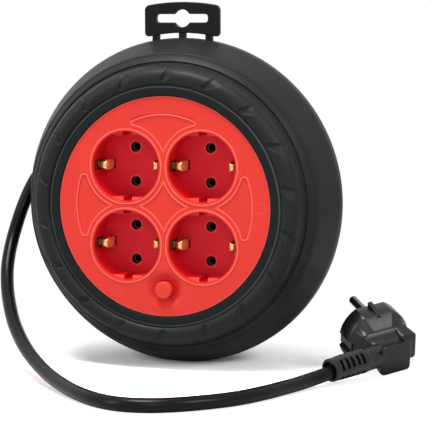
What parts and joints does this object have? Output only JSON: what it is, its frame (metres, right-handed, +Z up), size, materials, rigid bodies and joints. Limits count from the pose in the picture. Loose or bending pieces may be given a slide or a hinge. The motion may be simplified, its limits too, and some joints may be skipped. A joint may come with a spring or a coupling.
{
  "type": "extension cord reel",
  "caption": "Round cord reel with a tyre-shaped housing, a turning drum whose front is a plate of earthed sockets with a reset button, a hang tab, and a cord with an angled plug.",
  "frame": {"origin": "on the floor, under the middle of the housing, in the plane of the housing's crown", "axes": "+Z up; the drum's axis lies along Y and the sockets face -Y; +X is to the right seen from the front"},
  "size_m": [0.244, 0.187, 0.2005],
  "materials": {
    "housing_black": "fine matt moulded",
    "plate_red": "satin moulded",
    "button_red": "satin moulded",
    "soft_black": "soft moulded, satin",
    "cord_black": "smooth satin sheath",
    "plug_face_black": "hard moulded",
    "inner_black": "plain moulded",
    "plated_metal": "nickel plated",
    "steel": "zinc plated",
    "brass": "bright strip",
    "lead_brown": "smooth",
    "lead_blue": "smooth",
    "lead_green": "smooth"
  },
  "bodies": {
    "housing": {"front_shell": "housing_black", "rear_shell": "housing_black", "hang_tab": "housing_black", "shell_screws": "steel", "cable_bush": "soft_black", "cord_free": "cord_black", "plug_body": "soft_black", "plug_face": "plug_face_black", "plug_pins": "plated_metal", "plug_earth_strips": "plated_metal", "plug_bend_relief": "soft_black", "hub_washer": "steel", "hub_screw": "steel"},
    "drum": {"socket_plate": "plate_red", "reel_drum": "inner_black", "plate_screws": "steel", "live_bar": "brass", "neutral_bar": "brass", "earth_bar": "brass", "thermal_cutout": "inner_black", "cable_clamp": "inner_black", "clamp_screws": "steel", "cable_winding": "cord_black", "lead_live": "lead_brown", "lead_neutral": "lead_blue", "lead_earth": "lead_green", "contact_cover": "inner_black", "cover_screw": "steel"},
    "button": {"reset_button": "button_red"}
  },
  "joints": [
    {"name": "drum_spin", "type": "hinge", "parent": "housing", "child": "drum", "pos_m": [0, 0, 0.09], "axis": [0, -1, 0], "continuous": true},
    {"name": "reset_button", "type": "slide", "parent": "drum", "child": "button", "axis": [0, 1, 0], "range_m": [0, 0.0025], "stiffness_N_per_m": 600, "springref_m": -0.001}
  ]
}
